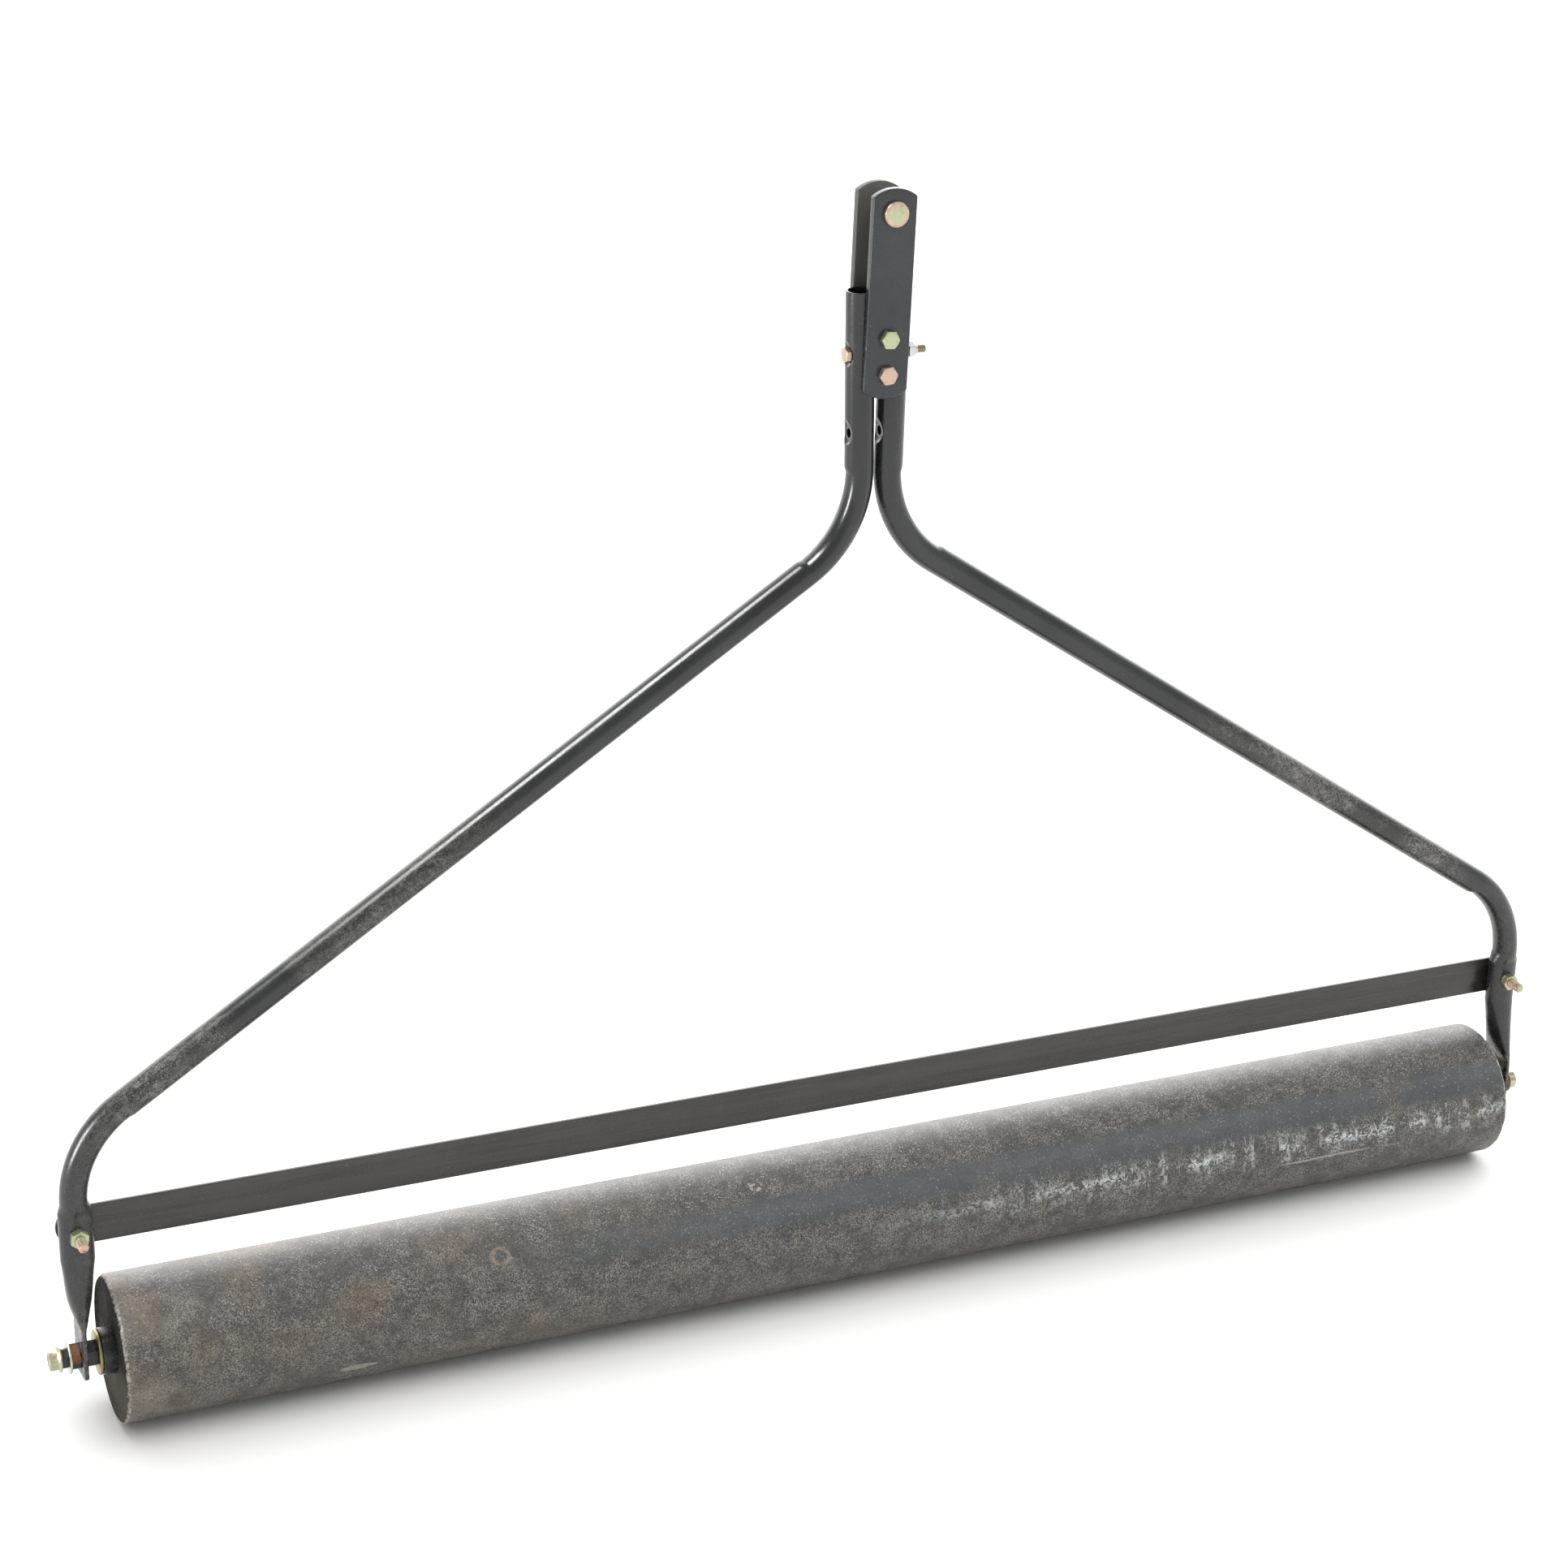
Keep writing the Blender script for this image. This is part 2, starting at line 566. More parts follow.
def paint(name, dust_low=None, tone=(0.0115, 0.0120, 0.0122), grime=0.0, gloss=0.20, streaky=False):
    """Glossy black paint with orange peel, fine scuffs and, on the arms, ground-in dust."""
    g = Graph(name)
    broad, fine = g.noise(14, 4), g.noise(420, 4, 0.6)
    color = g.mix(g.step(broad, 0.35, 0.7), tone, tuple(c * 1.7 for c in tone))
    lengthwise = g.stretched(0.05, 1, 1.4) if streaky else None
    cloudy = g.times(g.step(g.noise(60, 6, 0.72, lengthwise, 0.0 if streaky else 1.2), 0.40, 0.62), grime)
    color = g.mix(cloudy, color, (0.062, 0.058, 0.050))
    specks = g.times(g.step(g.cells(300), 0.12, 0.05), g.step(g.noise(45, 2), 0.58, 0.66))
    color = g.mix(g.times(specks, 0.6), color, (0.38, 0.38, 0.36))
    scratches = g.times(g.step(g.noise(34, 5, 0.8, g.stretched(1.2, 9, 16, (0, 0.5, 0))), 0.66, 0.70),
                        g.step(g.noise(11, 2), 0.5, 0.64))
    color = g.mix(g.times(scratches, 0.35), color, (0.20, 0.20, 0.19))
    roughness = g.plus(gloss, g.times(g.step(fine, 0.35, 0.75), 0.07), g.times(g.step(broad, 0.4, 0.7), 0.06),
                       g.times(cloudy, 0.25), g.times(specks, 0.2))
    if dust_low is not None:
        spread = g.math("ABSOLUTE", g.x)
        where = g.window(spread, *dust_low, 0.06)
        streaks = g.noise(70, 6, 0.75, g.stretched(1.0, 3.0, 1.0), 2.2)
        hairs = g.noise(330, 4, 0.7, None, 3.0)
        dust = g.times(where, g.plus(g.step(streaks, 0.44, 0.76), g.times(g.step(hairs, 0.51, 0.59), 0.8)))
        dust = g.times(dust, g.step(g.noise(9, 3), 0.36, 0.58))
        color = g.mix(g.times(dust, 0.8), color, (0.26, 0.255, 0.235))
        foot = g.times(g.step(g.z, 0.115, 0.075), g.step(g.noise(190, 5, 0.75), 0.42, 0.66))
        color = g.mix(g.times(foot, 0.75), color, (0.19, 0.185, 0.17))
        roughness = g.plus(roughness, g.times(dust, 0.30), g.times(foot, 0.35))
    normal = g.bump(fine, 0.06, 0.0002, g.bump(g.noise(85, 2), 0.06, 0.0010))
    return g.finish(color, roughness, normal, Specular_IOR_Level=0.5)


def rubber(name):
    """Old worn rubber: a fine worm-track grain full of grime, browner low down and at the left."""
    g = Graph(name)
    up = g.math("SUBTRACT", g.z, AXLE_Z * MM)
    front = g.math("MULTIPLY", g.y, -1.0)
    angle = g.math("ARCTAN2", front, up)
    away = g.math("SQRT", g.plus(g.times(up, up), g.times(front, front)))
    grain = g.noise(1000, 3, 0.6, None, 0.8)
    mottle = g.noise(330, 6, 0.75, None, 0.5)
    patch = g.noise(17, 5, 0.62)
    cloud = g.noise(5.5, 4, 0.6, g.stretched(0.6, 1, 1))
    low = g.step(angle, 0.55, 1.5)
    shade = g.step(g.noise(52, 6, 0.7), 0.40, 0.60)
    color = g.mix(g.step(mottle, 0.42, 0.57), (0.020, 0.021, 0.022), (0.066, 0.064, 0.058))
    color = g.mix(g.times(g.step(mottle, 0.46, 0.58), low, 0.5), color, (0.098, 0.086, 0.068))
    color = g.mix(g.times(g.step(grain, 0.52, 0.58), g.plus(0.35, g.times(shade, 0.6))), color,
                  (0.270, 0.255, 0.222))
    color = g.mix(g.times(g.step(grain, 0.46, 0.40), 0.8), color, (0.007, 0.007, 0.008))
    color = g.mix(g.times(g.step(shade, 0.6, 0.0), 0.28), color, (0.018, 0.019, 0.020))
    # A wiped, cleaner and darker band runs along the upper front.
    middle = g.plus(0.90, g.times(g.x, 0.05), g.times(g.noise(7, 3), 0.14), -0.07)
    off_middle = g.math("ABSOLUTE", g.math("SUBTRACT", angle, middle))
    wiped = g.times(g.step(off_middle, 0.34, 0.14), g.step(g.x, -0.40, -0.12), g.step(patch, 0.72, 0.56))
    color = g.mix(g.times(wiped, 0.75), color, (0.036, 0.040, 0.044))
    brown = g.plus(g.step(g.x, 0.05, -0.60, 0.0, 0.80), g.times(g.step(patch, 0.5, 0.72), 0.3))
    tan_color = g.mix(g.step(g.noise(75, 5, 0.7), 0.4, 0.7), (0.115, 0.078, 0.050), (0.26, 0.195, 0.135))
    tan_patches = g.step(g.plus(patch, g.times(cloud, 0.5)), 0.62, 0.92)
    tan_where = g.times(brown, tan_patches, g.step(grain, 0.42, 0.54))
    color = g.mix(tan_where, color, tan_color)
    end_dust = g.times(g.step(g.x, -0.52, -0.60), g.step(g.noise(26, 5, 0.7), 0.36, 0.66))
    color = g.mix(g.times(end_dust, 0.35), color, (0.21, 0.185, 0.15))
    ring = g.math("SQRT", g.plus(
        g.math("POWER", g.math("SUBTRACT", g.x, RING_MARK * MM), 2.0),
        g.math("POWER", g.times(g.math("SUBTRACT", angle, RING_TURN), ROLLER_R * MM), 2.0)))
    on_ring = g.times(g.window(ring, 0.0050, 0.0078, 0.0009), g.step(g.noise(300, 3), 0.34, 0.56))
    color = g.mix(g.times(on_ring, 0.7), color, (0.26, 0.20, 0.14))
    chip_along = g.math("DIVIDE", g.math("SUBTRACT", g.x, CHIP * MM), CHIP_LONG * MM)
    chip_across = g.math("DIVIDE", g.times(g.math("SUBTRACT", angle, CHIP_TURN), ROLLER_R), CHIP_HIGH)
    chip = g.plus(g.times(chip_along, chip_along), g.times(chip_across, chip_across), g.times(patch, 0.4))
    color = g.mix(g.times(g.step(chip, 1.25, 0.85), 0.8), color, (0.30, 0.27, 0.22))
    # White scuffs lie in a line along the right half, with smears hanging down from them.
    line = g.plus(angle, g.times(g.noise(9, 3), 0.22), -0.11)
    clumps = g.step(g.noise(19, 3, 0.6, g.stretched(1, 0.15, 0.15)), 0.43, 0.50)
    flecks = g.step(g.noise(190, 5, 0.75, None, 1.2), 0.49, 0.54)
    smears = g.step(g.noise(75, 5, 0.75, g.stretched(1.0, 0.2, 0.2)), 0.49, 0.56)
    strongest = g.times(g.window(g.x, 0.02, 0.62, 0.09), g.step(g.x, 0.00, 0.30, 0.35, 1.0))
    scuffs = g.times(g.window(line, 1.31, 1.47, 0.07), flecks, clumps, strongest)
    hanging = g.times(g.window(line, 1.15, 1.66, 0.10), smears, flecks, strongest, 0.55)
    crumbs = g.times(g.step(g.cells(330), 0.24, 0.10), g.step(g.noise(60, 3), 0.44, 0.54))
    pinkish = g.times(g.step(g.math("ABSOLUTE", g.math("SUBTRACT", g.x, SPECKS * MM)), 0.009, 0.004),
                      g.step(g.math("ABSOLUTE", g.math("SUBTRACT", angle, SPECKS_TURN)), 0.12, 0.05),
                      g.step(g.noise(260, 4, 0.7), 0.51, 0.57))
    color = g.mix(g.times(crumbs, g.step(angle, 0.80, 0.25, 0.45, 0.85)), color, (0.46, 0.44, 0.40))
    color = g.mix(g.times(pinkish, 0.6), color, (0.55, 0.45, 0.42))
    color = g.mix(g.math("MAXIMUM", scuffs, hanging), color, (0.50, 0.53, 0.53))
    wavy = g.plus(angle, g.times(g.noise(30, 3), 0.05))
    off_crack = g.math("ABSOLUTE", g.math("SUBTRACT", wavy, CRACK_TURN))
    crack_start, crack_end = CRACK_ENDS
    crack_run = g.window(g.x, crack_start * MM, crack_end * MM, 0.012)
    crack = g.times(g.step(off_crack, 0.022, 0.010), crack_run)
    color = g.mix(g.times(crack, 0.75), color, (0.36, 0.34, 0.31))
    # The end faces are dark above and dusty below, with a whitish worn rim.
    off_end = g.math("SUBTRACT", ROLLER_HALF * MM, g.math("ABSOLUTE", g.x))
    on_end = g.times(g.step(off_end, 0.0035, 0.0022), g.step(away, 0.0562, 0.0550))
    face = g.mix(g.step(g.plus(up, g.times(g.noise(30, 5), 0.05)), 0.030, 0.004),
                 (0.008, 0.008, 0.008), (0.060, 0.054, 0.044))
    face = g.mix(g.times(g.step(g.noise(330, 5, 0.75), 0.54, 0.68), 0.28), face, (0.22, 0.20, 0.17))
    color = g.mix(g.times(on_end, 0.9), color, face)
    at_rim = g.times(g.window(off_end, 0.0006, 0.0030, 0.0006), g.step(away, 0.0535, 0.0550))
    rim = g.times(at_rim, g.step(g.noise(260, 5, 0.8), 0.48, 0.56))
    color = g.mix(g.times(rim, 0.7), color, (0.45, 0.42, 0.36))
    light = g.plus(scuffs, hanging, pinkish)
    matt = g.plus(light, g.times(on_end, 2.0))
    roughness = g.plus(
        0.52, g.times(g.step(grain, 0.4, 0.7), 0.12), g.times(wiped, -0.08), g.times(matt, 0.15))
    height = g.plus(g.times(grain, 0.7), g.times(mottle, 0.6), g.times(crack, -1.5))
    rough_relief = g.times(g.plus(1.0, g.times(wiped, -0.7)), height)
    normal = g.bump(rough_relief, 0.6, 0.0010)
    coat = g.plus(0.30, g.times(wiped, 0.35), g.times(g.step(patch, 0.3, 0.7), 0.1), g.times(matt, -0.3))
    sheen = g.plus(0.45, g.times(on_end, -0.38))
    coat = g.math("MAXIMUM", coat, 0.0)
    return g.finish(color, roughness, normal, Specular_IOR_Level=sheen, Coat_Weight=coat,
                    Coat_Roughness=0.38, Coat_IOR=1.5)


def zinc(name, first=(0.40, 0.43, 0.27), second=(0.50, 0.36, 0.28), pink=0.0, rust=0.0, metallic=0.85,
         pink_below=None, pink_rim=None):
    """Yellow zinc plating that drifts between yellow-green and pink, with dull patches."""
    g = Graph(name)
    drift = g.plus(g.noise(75, 3, 0.6), pink)
    if pink_below is not None:
        drift = g.plus(drift, g.step(g.z, pink_below + 0.004, pink_below - 0.004, -0.08, 0.16))
    if pink_rim is not None:
        x, z, radius = pink_rim
        right, up = g.math("SUBTRACT", g.x, x), g.math("SUBTRACT", g.z, z)
        away = g.math("SQRT", g.plus(g.times(right, right), g.times(up, up)))
        drift = g.plus(drift, g.step(away, radius * 0.62, radius * 0.92, -0.10, 0.16))
    color = g.mix(g.step(drift, 0.44, 0.62), first, second)
    color = g.mix(g.times(g.step(g.noise(150, 4), 0.55, 0.75), 0.7), color, (0.52, 0.52, 0.43))
    grime = g.step(g.noise(240, 5, 0.7), 0.56 - rust, 0.80 - rust)
    color = g.mix(g.times(grime, 0.75), color, (0.13, 0.085, 0.05))
    roughness = g.plus(0.27, g.times(grime, 0.35), g.times(g.noise(420, 3), 0.12))
    normal = g.bump(g.noise(700, 4), 0.12, 0.0002)
    return g.finish(color, roughness, normal, Metallic=metallic)


def steel(name, light, dark, rust, amount, metallic, gloss=0.38):
    """Plain, dark or rusted steel."""
    g = Graph(name)
    color = g.mix(g.step(g.noise(210, 5, 0.7), 0.35, 0.7), light, dark)
    spread = g.step(g.noise(150, 5, 0.7), 0.62 - amount / 2, 0.85 - amount / 2)
    rusty = g.mix(g.noise(500, 4), rust, tuple(c * 0.45 for c in rust))
    color = g.mix(spread, color, rusty)
    roughness = g.plus(gloss, g.times(spread, 0.4), g.times(g.noise(300, 3), 0.1))
    normal = g.bump(g.plus(g.noise(600, 5), spread), 0.3, 0.0003)
    return g.finish(color, roughness, normal, Metallic=metallic)


def half_rusted(name):
    """Dark nut whose upper facets have rusted."""
    g = Graph(name)
    above = g.plus(g.z, g.times(g.y, -0.3), g.times(g.noise(160, 3), 0.004))
    where = g.times(g.step(above, 0.0605, 0.0635), g.step(g.noise(330, 5, 0.7), 0.34, 0.52))
    rust = g.mix(g.noise(520, 5, 0.7), (0.36, 0.15, 0.055), (0.16, 0.06, 0.028))
    color = g.mix(g.step(g.noise(260, 5, 0.7), 0.4, 0.7), (0.022, 0.019, 0.017), (0.055, 0.042, 0.032))
    color = g.mix(where, color, rust)
    normal = g.bump(g.plus(g.noise(700, 5), where), 0.4, 0.0003)
    return g.finish(color, g.plus(0.42, g.times(where, 0.35)), normal, Metallic=0.2)


arm_paint = paint("arm_paint", (0.33, 0.60))
bar_paint = paint("bar_paint", None, (0.0165, 0.0155, 0.0135), 0.4, streaky=True)
strap_paint = paint("strap_paint", None, (0.0115, 0.0140, 0.0165), 0.1)
rear_strap_paint = paint("rear_strap_paint", None, (0.060, 0.060, 0.056), 0.3, 0.42)
drum_rubber = rubber("drum_rubber")
plating = zinc("plating")
pink_plating = zinc("pink_plating", pink=0.12)
strap_bolt_plating = zinc("strap_bolt_plating", pink_below=(AXLE_Z + STRAP_BOLT_Z + STRAP_PITCH / 2) * MM)
pin_plating = zinc("pin_plating", pink_rim=(PIN_CENTRE_X * MM, PIN_CENTRE_Z * MM, PIN_HEAD_R * MM))
silvery_plating = zinc("silvery_plating", (0.46, 0.47, 0.44), (0.54, 0.54, 0.52))
pale_plating = zinc("pale_plating", (0.46, 0.52, 0.42), (0.54, 0.56, 0.50))
olive_plating = zinc("olive_plating", (0.34, 0.31, 0.13), (0.42, 0.33, 0.17), rust=0.06)
worn_plating = zinc("worn_plating", pink=0.04, rust=0.1)
bare_steel = steel("bare_steel", (0.33, 0.31, 0.28), (0.16, 0.14, 0.12), (0.20, 0.11, 0.06), 0.35, 0.8)
dark_steel = steel(
    "dark_steel", (0.012, 0.012, 0.012), (0.026, 0.025, 0.023), (0.07, 0.055, 0.04), 0.15, 0.1, 0.22)
rusty_steel = half_rusted("rusty_steel")
bronze = steel("bronze", (0.45, 0.30, 0.14), (0.30, 0.19, 0.09), (0.10, 0.07, 0.04), 0.1, 0.9)

# ---- Pieces: frame -----------------------------------------------------------------------------

for side_name in SIDES:
    stand_for(arm_tube(side_name), f"{side_name}_arm_tube", arm_paint)

bar_rear = WAIST_Y + BAR_THICKNESS
end_turn = np.linspace(-pi / 2, pi / 2, 33)
straight = BAR_HALF - BAR_HALF_WIDTH
right_end = [(straight + BAR_HALF_WIDTH * cos(a), BAR_HALF_WIDTH * sin(a)) for a in end_turn]
steps_along = np.linspace(straight, -straight, 26)[1:-1]
bar_outline = right_end + [(x, BAR_HALF_WIDTH) for x in steps_along]
bar_outline += [(-x, -z) for x, z in bar_outline]
bar_place = Place((0, bar_rear, AXLE_Z + BAR_Z), (0, -1, 0), (1, 0, 0))
bar = make_mesh("cross_bar_look", [plate(bar_place, bar_outline, BAR_THICKNESS, 0.7)])
bolt_places = [Place((side * ARM_SPREAD, bar_rear, AXLE_Z + BAR_BOLT_Z), (0, -1, 0), (1, 0, 0))
               for side in SIDES.values()]
cut(bar, [rod(place, LARGE["r"] + 0.4, -5, 10) for place in bolt_places])
stand_for(bar, "cross_bar", bar_paint)

bar_bolts, bar_nuts = [], []
for side, turn in ((-1, 8), (1, 24)):
    spin = (sin(radians(turn)), 0, cos(radians(turn)))
    seat = (side * ARM_SPREAD, bar_rear, AXLE_Z + BAR_BOLT_Z)
    bar_bolts.append(bolt(Place(seat, (0, -1, 0), spin), LARGE, BAR_BOLT_LENGTH, 22))
    nut_seat = (side * ARM_SPREAD, -WAIST_Y, AXLE_Z + BAR_BOLT_Z)
    bar_nuts.append(nut(Place(nut_seat, (0, -1, 0), spin), LARGE["af"], LARGE["r"] - 0.5, LARGE["nut"]))
stand_for(make_mesh("cross_bar_bolts_look", bar_bolts), "cross_bar_bolts", worn_plating)
stand_for(make_mesh("cross_bar_nuts_look", bar_nuts), "cross_bar_nuts", plating)

for strap_name, start, strap_material in (
        ("front", -TUBE_R - STRAP_THICKNESS, strap_paint), ("rear", TUBE_R, rear_strap_paint)):
    place = strap_place(0, start + STRAP_THICKNESS, (0, -1, 0))
    across = Place(place.origin, (0, -1, 0), (cos(STRAP_LEAN), 0, -sin(STRAP_LEAN)))
    strap_shell = plate(across, strap_outline(), STRAP_THICKNESS, 0.9)
    strap = make_mesh(f"{strap_name}_hitch_strap_look", [strap_shell])
    holes = [rod(strap_place(reach, start), r, -4, 12, 64)
             for reach, r in ((0, 4.37), (STRAP_PITCH, 4.37), (STRAP_PIN, PIN_R + 0.3))]
    cut(strap, holes)
    stand_for(strap, f"{strap_name}_hitch_strap", strap_material)

front_face, rear_face = -TUBE_R - STRAP_THICKNESS, TUBE_R + STRAP_THICKNESS
strap_bolts = []
for reach, turn in ((0, radians(5)), (STRAP_PITCH, radians(-4))):
    seat = strap_place(reach, front_face).origin
    strap_bolts.append(bolt(Place(seat, (0, 1, 0), (cos(turn), 0, sin(turn))), LARGE, STRAP_BOLT_LENGTH, 33))
strap_nuts = [nut(strap_place(reach, rear_face), LARGE["af"], LARGE["r"] - 0.5, LARGE["nut"])
              for reach in (0, STRAP_PITCH)]
stand_for(make_mesh("strap_bolts_look", strap_bolts), "strap_bolts", strap_bolt_plating)
stand_for(make_mesh("strap_nuts_look", strap_nuts), "strap_nuts", plating)

head_x = -arm_x("left", CROSS_BOLT_Z) - TUBE_R + SEAT_DEPTH
cross_place = Place((head_x, 0, AXLE_Z + CROSS_BOLT_Z), (1, 0, 0), (0, 0, 1))
cross_bolt = bolt(cross_place, SMALL, CROSS_END - head_x, 48)
nut_x = arm_x("right", CROSS_BOLT_Z) + TUBE_R + 0.05
cross_nut = nut(Place((nut_x, 0, AXLE_Z + CROSS_BOLT_Z), (1, 0, 0), (0, 0, 1)),
                SMALL["af"], SMALL["r"] - 0.4, SMALL["nut"], crown=2.6)
stand_for(make_mesh("tube_cross_bolt_look", [cross_bolt]), "tube_cross_bolt", pink_plating)
stand_for(make_mesh("tube_cross_lock_nut_look", [cross_nut]), "tube_cross_lock_nut", silvery_plating)

# ---- Pieces: axle ------------------------------------------------------------------------------

def axle_half(side_name, segments=64):
    """One half of the axle rod, threaded inside and outside its shoulder."""
    shoulder = SHOULDER[side_name]
    return ([(AXLE_R - 0.05, 0), (AXLE_R - 0.05, 618)]
            + thread(618.2, shoulder, AXLE_R, AXLE_PITCH, segments, tip=0.5)
            + thread(shoulder + 0.1, AXLE_END, STUB_R, STUB_PITCH, segments, tip=1.0))


left_stations = [(r, -x) for r, x in axle_half("left")][:0:-1]
axle = turned(outboard(1, 0), left_stations + axle_half("right")[1:], 64)
stand_for(make_mesh("axle_rod_look", [axle]), "axle_rod", bare_steel)

washers, inner_nuts, heavy_nuts, flange_nuts = [], [], [], []
for side_name, side in SIDES.items():
    lean = radians(4 if side < 0 else 22)
    upright = (0, sin(lean), cos(lean))
    washers.append(washer(outboard(side, HUB_FACE + 0.3), 17.4625, AXLE_R + 0.02, 2.4, 0.4))
    inner_nuts.append(nut(outboard(side, HUB_FACE + 2.7, upright), HEAVY_AF, AXLE_R - 0.7, 8.5))
    heavy_nuts.append(nut(outboard(side, FOOT_X[side_name] + 2, upright), HEAVY_AF, AXLE_R - 0.7, HEAVY_NUT))
    flange_at = SHOULDER[side_name] + (7.0 if side < 0 else 0.0)
    flange_nuts.append(
        nut(outboard(side, flange_at, (0, -0.25, 1)), STUB_AF, STUB_R - 0.5, 9.0, flange=10.35))
stand_for(make_mesh("fender_washers_look", washers), "fender_washers", olive_plating)
stand_for(make_mesh("axle_inner_nuts_look", inner_nuts), "axle_inner_nuts", dark_steel)
stand_for(make_mesh("axle_heavy_nuts_look", heavy_nuts), "axle_heavy_nuts", rusty_steel)
stand_for(make_mesh("axle_flange_nuts_look", flange_nuts), "axle_flange_nuts", plating)
flat_washer = washer(outboard(-1, SHOULDER["left"]), 12.7, STUB_R + 0.02, 1.7, 0.35)
stand_for(make_mesh("axle_flat_washer_look", [flat_washer]), "axle_flat_washer", pale_plating)
thin_nut = nut(outboard(-1, SHOULDER["left"] + 1.7, (0, -0.1, 1)), STUB_AF, STUB_R - 0.5, 5.3)
stand_for(make_mesh("axle_thin_nut_look", [thin_nut]), "axle_thin_nut", dark_steel)
inner_spacer = washer(outboard(1, HUB_FACE + 11.2), 9.5, AXLE_R + 0.02, 4.8, 0.4)
stand_for(make_mesh("axle_inner_spacer_look", [inner_spacer]), "axle_inner_spacer", dark_steel)

# ---- Pieces: roller ----------------------------------------------------------------------------

drum_place = Place((0, 0, AXLE_Z), (1, 0, 0), (0, 0, 1))
half, inner_r = ROLLER_HALF, HUB_R + 0.15
pocket_r, pocket = 47.8, half - 4.85


def fine_angles():
    """Angles round the drum, closer together where its marks are."""
    marks = [*np.linspace(0, 2 * pi, 160, endpoint=False)]
    for middle, reach in ((RING_TURN, 9.5), (CHIP_TURN, 6.5)):
        marks += [*np.arange(middle - reach / ROLLER_R, middle + reach / ROLLER_R, 0.75 / ROLLER_R)]
    marks = sorted(marks)
    kept = [marks[0]]
    for mark in marks[1:]:
        if mark - kept[-1] > 0.4 / ROLLER_R:
            kept.append(mark)
    return np.array(kept)


drum_turn = fine_angles()


def drum_ring(r, x):
    return drum_place.at(r * np.cos(drum_turn), r * np.sin(drum_turn), x)


def marked_radius(x):
    """Radius round the drum at a place along it, with the ring mark and the chip pressed in."""
    from_ring = np.hypot(x - RING_MARK, ROLLER_R * (drum_turn - RING_TURN))
    ring_depth = 0.5 * np.exp(-(((from_ring - RING_R) / 0.9) ** 2))
    across = ROLLER_R * (drum_turn - CHIP_TURN) - 0.06 * (x - CHIP)
    inside = np.clip(1 - np.hypot((x - CHIP) / CHIP_LONG, across / CHIP_HIGH), 0, 1)
    chip_depth = 1.3 * np.clip(inside * 3, 0, 1) * (0.7 + 0.3 * np.sin(x * 0.9))
    return ROLLER_R - ring_depth - chip_depth


def worn(turn, phase):
    """Wear round a rim between 0 and 1."""
    slow, quick = 0.2 * np.sin(5 * turn + phase), 0.16 * np.sin(13 * turn + 2 * phase)
    return 0.5 + slow + quick + 0.14 * np.sin(29 * turn)


def drum_end(side):
    """Rings of one end, from the round surface over its rim and the dished end face to the pocket."""
    rings = []
    for a in np.linspace(0, pi / 2, 9):
        wear = 0.75 * worn(drum_turn, 1.3 * side) * sin(2 * a)
        rings.append(drum_ring(
            ROLLER_R - COVER_EDGE * (1 - cos(a)) - wear, side * (half - COVER_EDGE * (1 - sin(a)) - wear)))
    for r in (53.0, 51.6, 50.2, 48.5, 46, 42, 36, 30, 24, 20):
        dip = 2.2 * (1 - np.clip((r - 47) / 6.5, 0, 1) ** 2) + 0.25 * worn(drum_turn, r) * (r < 52)
        rings.append(drum_ring(r, side * (half - dip)))
    rings += [drum_ring(inner_r, side * (half - 2.6)), drum_ring(inner_r, side * pocket),
              drum_ring(pocket_r, side * pocket)]
    return rings


runs = list(np.arange(-half + COVER_EDGE + 1.5, half - COVER_EDGE - 1, 6.0))
runs += list(np.arange(RING_MARK - 9, RING_MARK + 9, 0.8)) + list(np.arange(CHIP - 18, CHIP + 18, 1.0))
runs = sorted(runs)
runs = [x for i, x in enumerate(runs) if i == 0 or x - runs[i - 1] > 0.25]
skin = [drum_ring(marked_radius(x), x) for x in runs] + drum_end(1)
skin += [drum_ring(pocket_r, x) for x in np.linspace(pocket, -pocket, 12)[1:-1]] + drum_end(-1)[::-1]
cover = make_mesh("rubber_cover_look", [loft(skin, loop=True)], 40)
stand_for(cover, "rubber_cover", drum_rubber)

for side_name, side in SIDES.items():
    hub_place = Place((side * HUB_FACE, 0, AXLE_Z), (-side, 0, 0), (0, 0, 1))
    plate_in = HUB_FACE - (half - 5)
    outline = filleted(
        [(BUSHING_R, 0), (HUB_R, 0), (HUB_R, plate_in), (44.6, plate_in), (44.6, plate_in + 6),
         (HUB_R, plate_in + 6), (HUB_R, HUB_LENGTH), (BUSHING_R, HUB_LENGTH)],
        (0.4, 1.0, 0, 0.3, 0.3, 2, 0.6, 0.4), 4)
    hub = make_mesh(f"{side_name}_end_plate_look", [turned(hub_place, outline, 96, loop=True)])
    stand_for(hub, f"{side_name}_end_plate", dark_steel)
    bush = make_mesh(f"{side_name}_hub_bushing_look",
                     [washer(hub_place, BUSHING_R, AXLE_R + 0.05, HUB_LENGTH, 0.4)])
    stand_for(bush, f"{side_name}_hub_bushing", bronze)
frame["nodes"]["roller_pipe"].data.materials.clear()
frame["nodes"]["roller_pipe"].data.materials.append(bare_steel)

# ---- Pieces: clevis pin and clip ---------------------------------------------------------------

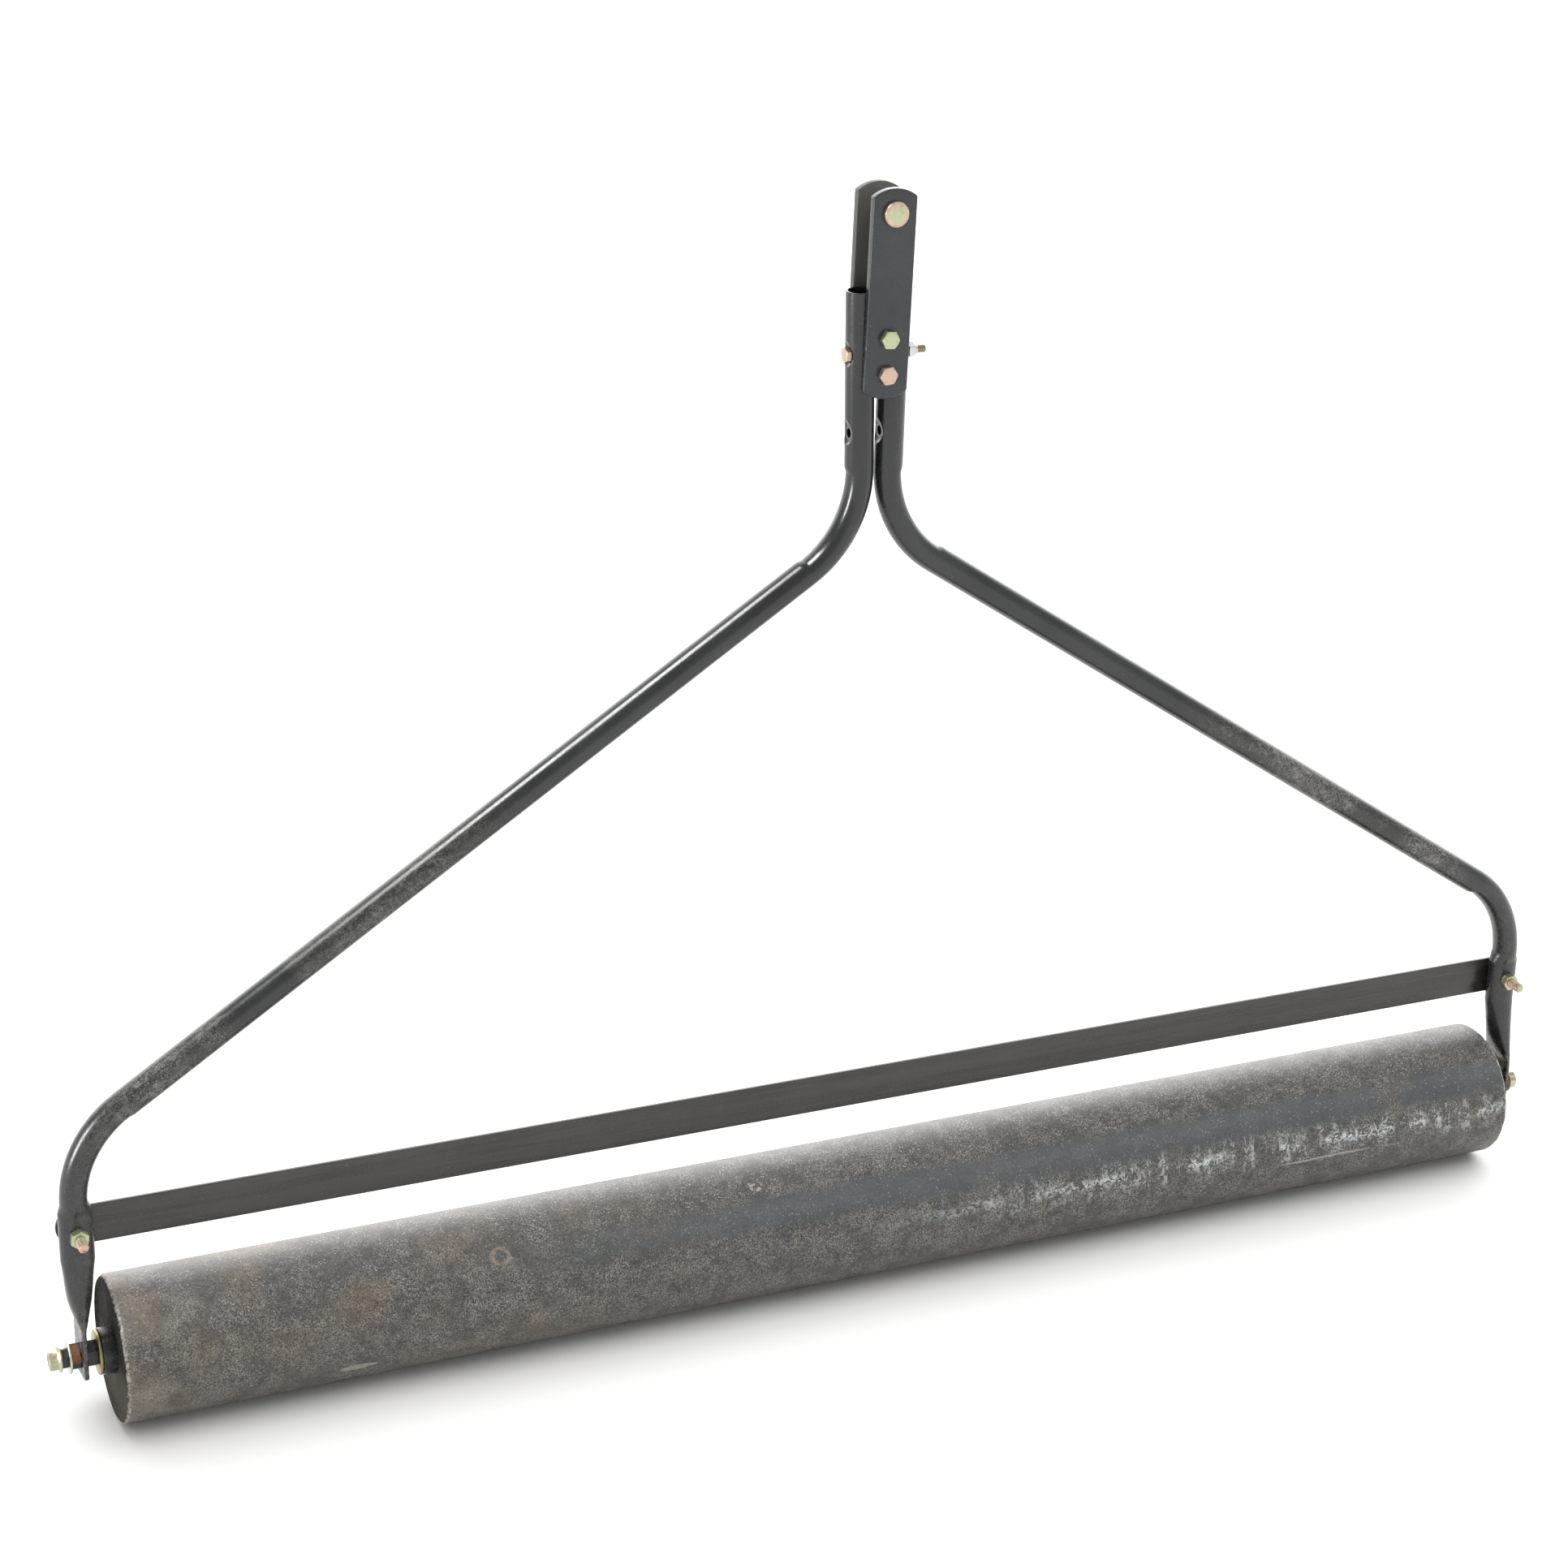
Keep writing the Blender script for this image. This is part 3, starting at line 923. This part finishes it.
pin_centre = strap_place(STRAP_PIN, 0).origin
pin_seat = front_face - 0.3
pin_place = Place((pin_centre[0], pin_seat, pin_centre[2]), (0, 1, 0), (1, 0, 0))
head = [(r, -PIN_HEAD + 0.35 * (r / PIN_HEAD_R) ** 2) for r in (0.6, 2.5, 4.5, 6.5, 8.0)]
head += filleted([(8.4, -PIN_HEAD + 0.3), (PIN_HEAD_R, -PIN_HEAD + 0.4), (PIN_HEAD_R, 0), (PIN_R, 0)],
                 (0, 0.9, 0.4, 0), 4, closed=False)
pin_length = PIN_END_Y - pin_seat
shank = filleted([(PIN_R, 0), (PIN_R, pin_length), (1, pin_length)], (0, 1.2, 0), 4, closed=False)
pin = make_mesh("hitch_pin_look", [turned(pin_place, head + shank[1:], 96)])
clip_down = np.array((-sin(CLIP_TILT), 0, -cos(CLIP_TILT)))
clip_place = Place((pin_centre[0], CLIP_Y, pin_centre[2]), (0, -1, 0), clip_down)
cut(pin, [rod(Place(clip_place.origin, clip_down, (0, 1, 0)), CLIP_R + 0.12, -8, 8)])
stand_for(pin, "hitch_pin", pin_plating)

wire = np.array(filleted(CLIP_ROUTE, CLIP_RADII, 12, closed=False))
along = np.gradient(wire, axis=0)
along /= np.linalg.norm(along, axis=1)[:, None]
turn = angles(20)
rings = []
for (px, py), (tx, ty) in zip(wire, along):
    rings.append(clip_place.at(
        px - ty * CLIP_R * np.cos(turn), py + tx * CLIP_R * np.cos(turn), CLIP_R * np.sin(turn)))
clip = make_mesh("hairpin_clip_look", [loft(rings)])
stand_for(clip, "hairpin_clip", plating)

# ---- Stage, light and camera -------------------------------------------------------------------

floor_mesh = bpy.data.meshes.new("floor")
shape = bmesh.new()
bmesh.ops.create_grid(shape, x_segments=8, y_segments=8, size=30)
shape.to_mesh(floor_mesh)
shape.free()
floor = bpy.data.objects.new("floor", floor_mesh)
bpy.context.scene.collection.objects.link(floor)
g = Graph("pale_floor")
floor_mesh.materials.append(g.finish(
    g.mix(g.noise(3, 4), (0.86, 0.86, 0.855), (0.90, 0.90, 0.895)), 0.85, Specular_IOR_Level=0.2))

world = bpy.data.worlds.new("studio")
g = Graph("studio", world)
towards_glow = g.plus(g.times(g.x, 0.30), g.times(g.y, 0.90), g.times(g.z, 0.30))
horizon = g.step(g.math("ABSOLUTE", g.z), 0.30, 0.06)
brightness = g.plus(0.66, g.times(g.step(towards_glow, 0.40, 1.0), 3.3), g.times(horizon, 0.38))
background = g.node("Background", {"Color": (1, 1, 1, 1), "Strength": brightness})
g.tree.links.new(background.outputs[0], g.node("OutputWorld").inputs[0])
bpy.context.scene.world = world


def lamp_object(name, light, place, aim):
    lamp = bpy.data.objects.new(name, light)
    lamp.location = place
    lamp.rotation_euler = (Vector(aim) - Vector(place)).to_track_quat("-Z", "Y").to_euler()
    bpy.context.scene.collection.objects.link(lamp)
    return lamp


def gleam(name, place, aim, size, power, color=(1, 1, 1)):
    """Softbox that only shows as a reflection."""
    light = bpy.data.lights.new(name, "AREA")
    light.shape, light.size, light.size_y, light.energy = "RECTANGLE", *size, power
    light.color = color
    lamp_object(name, light, place, aim).visible_diffuse = False


skylight = bpy.data.lights.new("skylight", "SUN")
skylight.energy, skylight.angle = 1.75, radians(60)
lamp_object("skylight", skylight, (1.0, -0.6, 3.0), (0, 0, 0)).visible_glossy = False
gleam("left_overhead", (-1.6, 0.1, 3.0), (-0.4, 0, 0.3), (1.2, 0.8), 90)
gleam("band", (1.4, -1.8, 2.0), (0.2, 0, 0.1), (2.2, 0.45), 9, (0.72, 0.86, 1.0))
gleam("left_side", (-3.1, 0.0, 0.9), (-0.6, 0, 0.3), (0.5, 1.3), 75)

yaw, pitch, roll = radians(23.76), radians(21.98), radians(1.43)
forward = Vector((sin(yaw) * cos(pitch), cos(yaw) * cos(pitch), -sin(pitch)))
level = Vector((cos(yaw), -sin(yaw), 0))
upward = level.cross(forward)
camera_x = cos(roll) * level + sin(roll) * upward
camera_y = -sin(roll) * level + cos(roll) * upward
camera_data = bpy.data.cameras.new("camera")
camera_data.lens, camera_data.sensor_width = 75.09, 36
camera = bpy.data.objects.new("camera", camera_data)
turned_camera = Matrix((camera_x, camera_y, -forward)).transposed().to_4x4()
camera.matrix_world = Matrix.Translation((-1.01146, -2.14570, 1.38870)) @ turned_camera
bpy.context.scene.collection.objects.link(camera)
bpy.context.scene.camera = camera
bpy.context.scene.view_settings.view_transform = "Standard"
